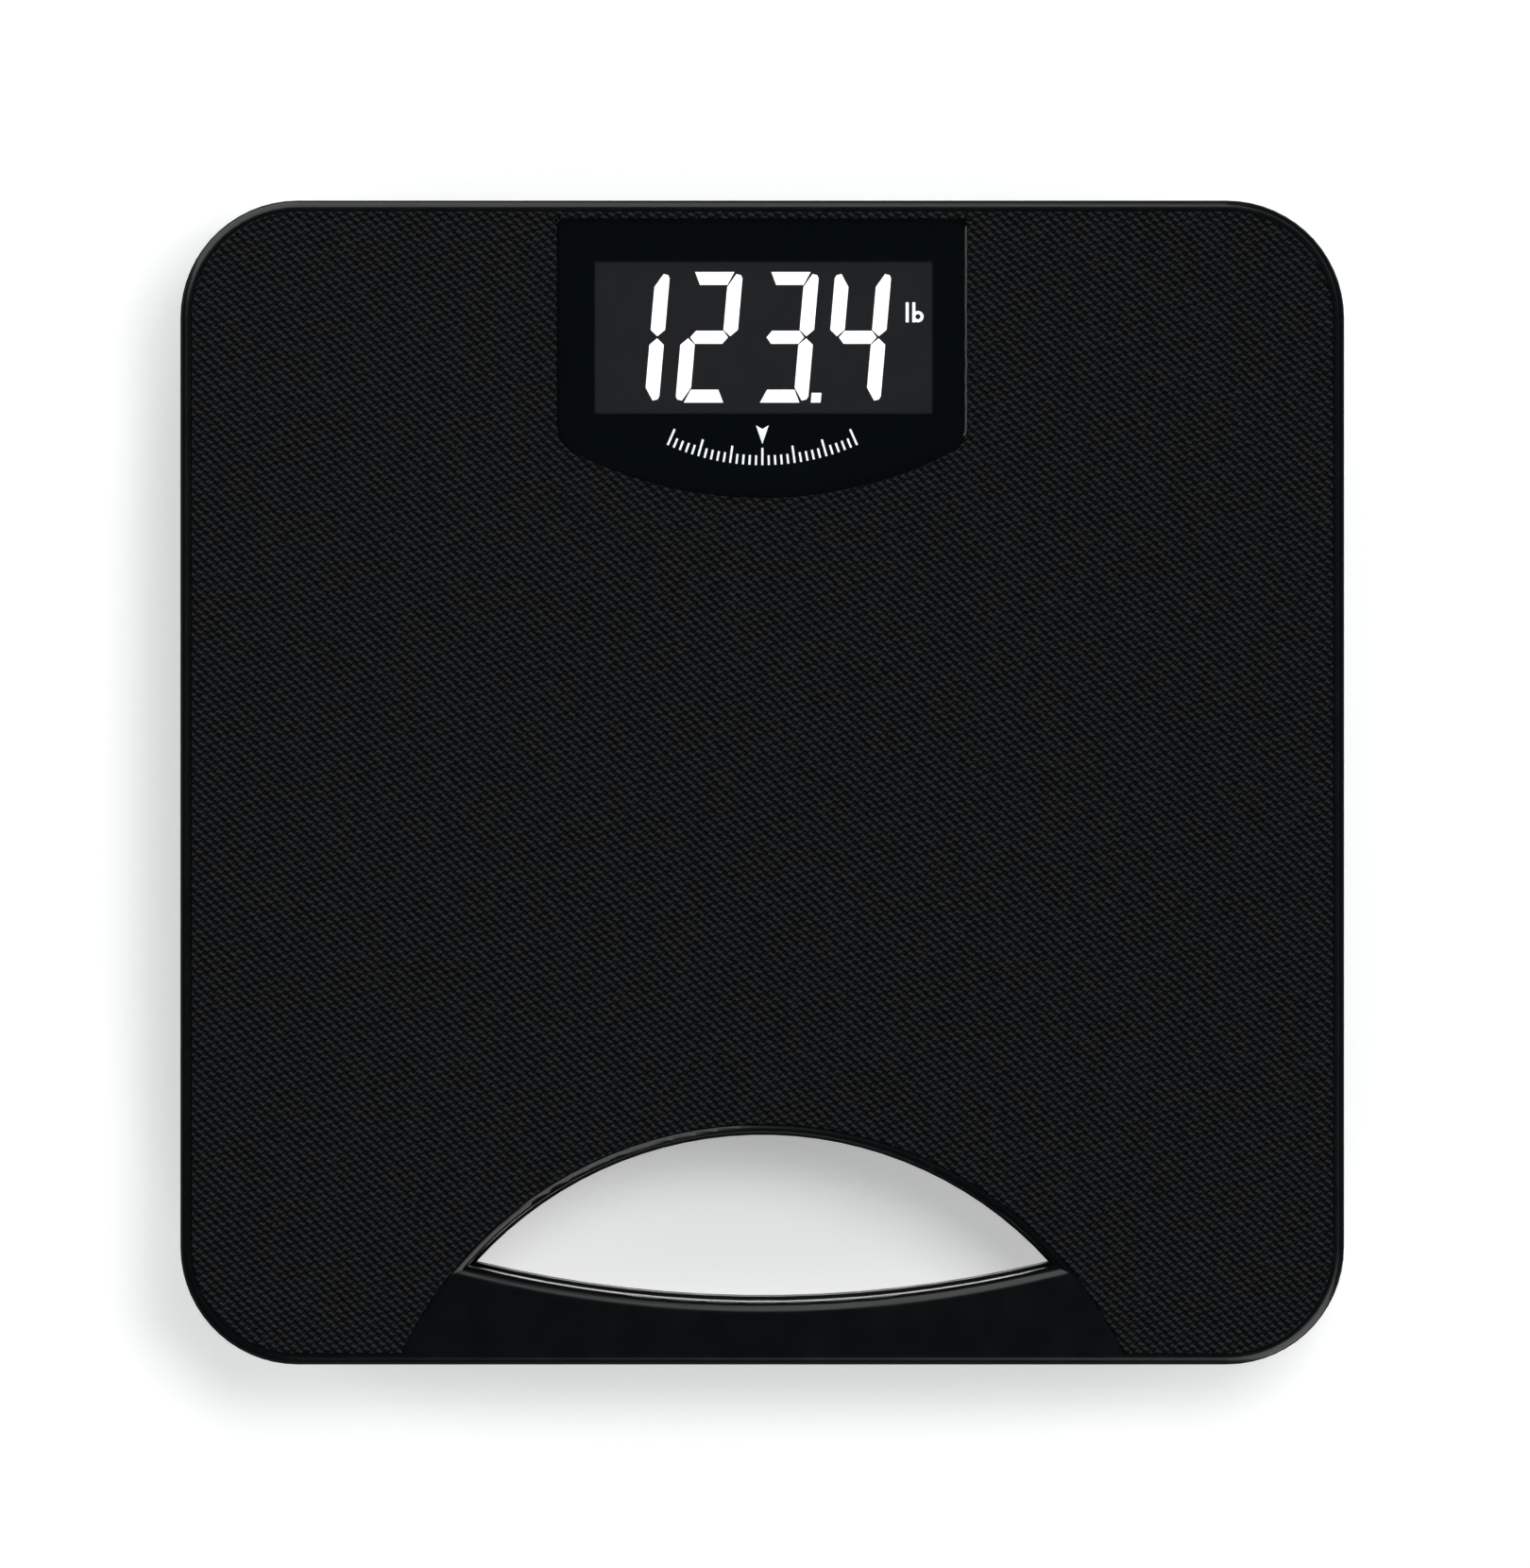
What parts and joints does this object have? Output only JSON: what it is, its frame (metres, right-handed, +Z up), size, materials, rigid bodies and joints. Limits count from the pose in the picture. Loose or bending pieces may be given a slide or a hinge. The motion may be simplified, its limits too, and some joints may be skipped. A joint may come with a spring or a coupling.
{
  "type": "digital bathroom scale",
  "caption": "Square platform scale with a textured mat, a glossy display panel with large digits, a crescent opening that leaves a carrying bar, and sprung feet on load cells.",
  "frame": {"origin": "on the floor, under the middle of the platform", "axes": "+Z up, +Y from the carrying bar towards the display, +X to the reader's right"},
  "size_m": [0.31, 0.31, 0.038],
  "materials": {
    "shell_plastic": "black ABS, fine texture",
    "mat_rubber": "black rubber with a woven relief",
    "lens_clear": "clear, glossy",
    "mask_black": "black printed film seen through the lens",
    "seal_foam": "black adhesive foam",
    "lcd_field": "dark grey display glass",
    "lcd_lit": "lit white segments",
    "light_guide": "milky white diffuser",
    "holder_plastic": "natural white plastic",
    "contact_rubber": "striped conductive rubber",
    "board_laminate": "green solder mask on glass fibre",
    "chip_epoxy": "black moulded epoxy",
    "component_mix": "small ceramic and plastic parts",
    "socket_nylon": "cream nylon",
    "screw_zinc": "zinc plated",
    "cell_steel": "bare spring steel",
    "gauge_coating": "white silicone",
    "retainer_plastic": "black nylon",
    "foot_plastic": "black ABS",
    "foot_rubber": "soft black rubber",
    "battery_jacket": "plain printed jacket, no marks",
    "contact_nickel": "nickel plated spring steel",
    "lead_red": "red insulated wire",
    "lead_black": "black insulated wire",
    "lead_grey": "grey insulated wires",
    "label_film": "blank silver film",
    "switch_plastic": "black plastic",
    "slider_plastic": "light grey plastic"
  },
  "bodies": {
    "housing": {"top_shell": "shell_plastic", "top_mat": "mat_rubber", "display_lens": "lens_clear", "lens_mask": "mask_black", "lens_seal": "seal_foam", "lcd_glass": "lcd_field", "lcd_segments": "lcd_lit", "lcd_backlight": "light_guide", "lcd_holder": "holder_plastic", "contact_strip": "contact_rubber", "main_board": "board_laminate", "controller_chip": "chip_epoxy", "board_components": "component_mix", "board_sockets": "socket_nylon", "board_screws": "screw_zinc", "base_shell": "shell_plastic", "housing_screws": "screw_zinc", "rating_label": "label_film", "strain_gauges": "gauge_coating", "cell_retainers": "retainer_plastic", "retainer_screws": "screw_zinc", "battery_1": "battery_jacket", "battery_2": "battery_jacket", "battery_3": "battery_jacket", "battery_4": "battery_jacket", "battery_plates": "contact_nickel", "battery_springs": "contact_nickel", "battery_lead_negative": "lead_black", "battery_lead_positive": "lead_red", "switch_body": "switch_plastic", "switch_lead": "lead_grey", "load_cell_front_left": "cell_steel", "cell_lead_front_left": "lead_grey", "load_cell_front_right": "cell_steel", "cell_lead_front_right": "lead_grey", "load_cell_display_left": "cell_steel", "cell_lead_display_left": "lead_grey", "load_cell_display_right": "cell_steel", "cell_lead_display_right": "lead_grey"},
    "foot_front_left": {"foot_cup_front_left": "foot_plastic", "foot_pad_front_left": "foot_rubber"},
    "foot_front_right": {"foot_cup_front_right": "foot_plastic", "foot_pad_front_right": "foot_rubber"},
    "foot_display_left": {"foot_cup_display_left": "foot_plastic", "foot_pad_display_left": "foot_rubber"},
    "foot_display_right": {"foot_cup_display_right": "foot_plastic", "foot_pad_display_right": "foot_rubber"},
    "battery_door": {"battery_door": "shell_plastic"},
    "unit_slider": {"unit_slider": "slider_plastic"}
  },
  "joints": [
    {"name": "foot_press_front_left", "type": "slide", "parent": "housing", "child": "foot_front_left", "axis": [0, 0, 1], "range_m": [0, 0.001], "stiffness_N_per_m": 2000, "springref_m": -0.002, "deforming": ["load_cell_front_left"]},
    {"name": "foot_press_front_right", "type": "slide", "parent": "housing", "child": "foot_front_right", "axis": [0, 0, 1], "range_m": [0, 0.001], "stiffness_N_per_m": 2000, "springref_m": -0.002, "deforming": ["load_cell_front_right"]},
    {"name": "foot_press_display_left", "type": "slide", "parent": "housing", "child": "foot_display_left", "axis": [0, 0, 1], "range_m": [0, 0.001], "stiffness_N_per_m": 2000, "springref_m": -0.002, "deforming": ["load_cell_display_left"]},
    {"name": "foot_press_display_right", "type": "slide", "parent": "housing", "child": "foot_display_right", "axis": [0, 0, 1], "range_m": [0, 0.001], "stiffness_N_per_m": 2000, "springref_m": -0.002, "deforming": ["load_cell_display_right"]},
    {"name": "battery_door_hinge", "type": "hinge", "parent": "housing", "child": "battery_door", "pos_m": [0, 0.0325, 0.0093], "axis": [1, 0, 0], "range_deg": [0, 100]},
    {"name": "unit_slide", "type": "slide", "parent": "housing", "child": "unit_slider", "axis": [1, 0, 0], "range_m": [0, 0.003]}
  ]
}
